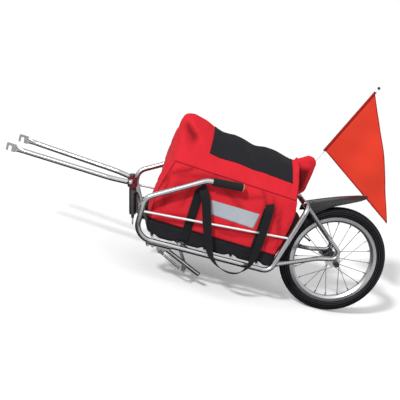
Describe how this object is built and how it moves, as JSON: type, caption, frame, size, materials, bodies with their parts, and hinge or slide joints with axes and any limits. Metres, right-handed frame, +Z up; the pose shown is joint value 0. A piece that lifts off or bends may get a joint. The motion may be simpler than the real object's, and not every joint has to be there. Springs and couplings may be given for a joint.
{
  "type": "single wheel touring trailer",
  "caption": "Bicycle trailer with one spoked rear wheel under a mudguard, a bent tube frame with grips, a folding stand, a swivelling hitch fork, a packed bag and a flag.",
  "frame": {"origin": "on the road under the wheel axle, on the middle plane of the trailer", "axes": "+X to the rear, +Y to the trailer's right, +Z up; the floor rails are level as in riding"},
  "size_m": [1.4449, 0.3742, 0.8286],
  "materials": {
    "frame_paint": "satin silver paint",
    "crown_paint": "dark red paint",
    "plain_steel": "zinc plated",
    "rim_alloy": "brushed",
    "black_plastic": "moulded",
    "grip_foam": "foam",
    "plug_tan": "moulded",
    "tyre_rubber": "treaded",
    "tube_rubber": "smooth",
    "pole_white": "smooth",
    "flag_cloth": "thin woven",
    "bag_red": "coated woven",
    "bag_black": "coated woven",
    "webbing": "woven webbing"
  },
  "bodies": {
    "frame": {"left_side_tube": "frame_paint", "right_side_tube": "frame_paint", "rear_cross_tube": "frame_paint", "head_tube": "frame_paint", "front_cross_tube": "frame_paint", "left_side_rod": "frame_paint", "right_side_rod": "frame_paint", "floor_rods": "frame_paint", "left_wheel_stay": "frame_paint", "right_wheel_stay": "frame_paint", "dropouts": "frame_paint", "head_bushes": "black_plastic", "axle": "plain_steel", "axle_spacers": "plain_steel", "axle_nuts": "plain_steel", "nut_caps": "black_plastic", "mudguard": "black_plastic", "guard_bracket": "plain_steel", "guard_bolts": "plain_steel", "left_stand_bracket": "frame_paint", "right_stand_bracket": "frame_paint", "bracket_bolts": "plain_steel", "stand_pivot_bolts": "plain_steel", "left_grip": "grip_foam", "right_grip": "grip_foam", "grip_plugs": "plug_tan", "flag_socket": "black_plastic", "bag_body": "bag_red", "bag_base": "bag_black", "bag_bands": "webbing", "left_bag_loop": "webbing", "right_bag_loop": "webbing"},
    "hitch_fork": {"steerer": "plain_steel", "crown_bar": "frame_paint", "crown_clamp": "crown_paint", "collar_nut": "plain_steel", "left_tine": "frame_paint", "right_tine": "frame_paint", "left_hook": "plain_steel", "right_hook": "plain_steel"},
    "pin_bail": {"pin_bail": "plain_steel"},
    "wheel": {"tyre": "tyre_rubber", "inner_tube": "tube_rubber", "rim": "rim_alloy", "hub_shell": "rim_alloy", "hub_bearings": "plain_steel", "spokes": "plain_steel", "nipples": "plain_steel", "valve_stem": "tube_rubber", "valve_cap": "black_plastic"},
    "stand": {"left_stand_leg": "frame_paint", "right_stand_leg": "frame_paint", "stand_cross_bar": "frame_paint", "stand_foot_plugs": "black_plastic"},
    "stand_spring": {"stand_spring": "plain_steel", "spring_ends": "plain_steel"},
    "flag_pole": {"flag_pole": "pole_white", "pole_tip": "black_plastic", "flag_collars": "black_plastic"},
    "flag": {"flag_cloth": "flag_cloth"}
  },
  "joints": [
    {"name": "hitch_swivel", "type": "hinge", "parent": "frame", "child": "hitch_fork", "pos_m": [-0.7655, 0, 0.2175], "axis": [-0.2823, 0, 0.9593], "range_deg": [-48, 81]},
    {"name": "bail_swing", "type": "hinge", "parent": "hitch_fork", "child": "pin_bail", "pos_m": [-0.74898, 0, 0.16138], "axis": [-0.2709, -0.9593, -0.0797], "range_deg": [-50, 50]},
    {"name": "wheel_spin", "type": "hinge", "parent": "frame", "child": "wheel", "pos_m": [0, 0, 0.197], "axis": [0, 1, 0], "continuous": true},
    {"name": "stand_fold", "type": "hinge", "parent": "frame", "child": "stand", "pos_m": [-0.638, 0, 0.118], "axis": [0, 1, 0], "range_deg": [0, 82]},
    {"name": "spring_turn", "type": "hinge", "parent": "frame", "child": "stand_spring", "pos_m": [-0.64, -0.1365, 0.101], "axis": [0, 1, 0], "range_deg": [0, 93.5]},
    {"name": "pole_lift", "type": "slide", "parent": "frame", "child": "flag_pole", "axis": [0.3935, 0, 0.9193], "range_m": [0, 0.06]},
    {"name": "flag_swing", "type": "hinge", "parent": "flag_pole", "child": "flag", "pos_m": [-0.21, 0.157, 0.326], "axis": [0.3935, 0, 0.9193], "continuous": true}
  ],
  "couplings": [
    {"joint": "spring_turn", "follows": "stand_fold", "ratio": 1.125}
  ]
}
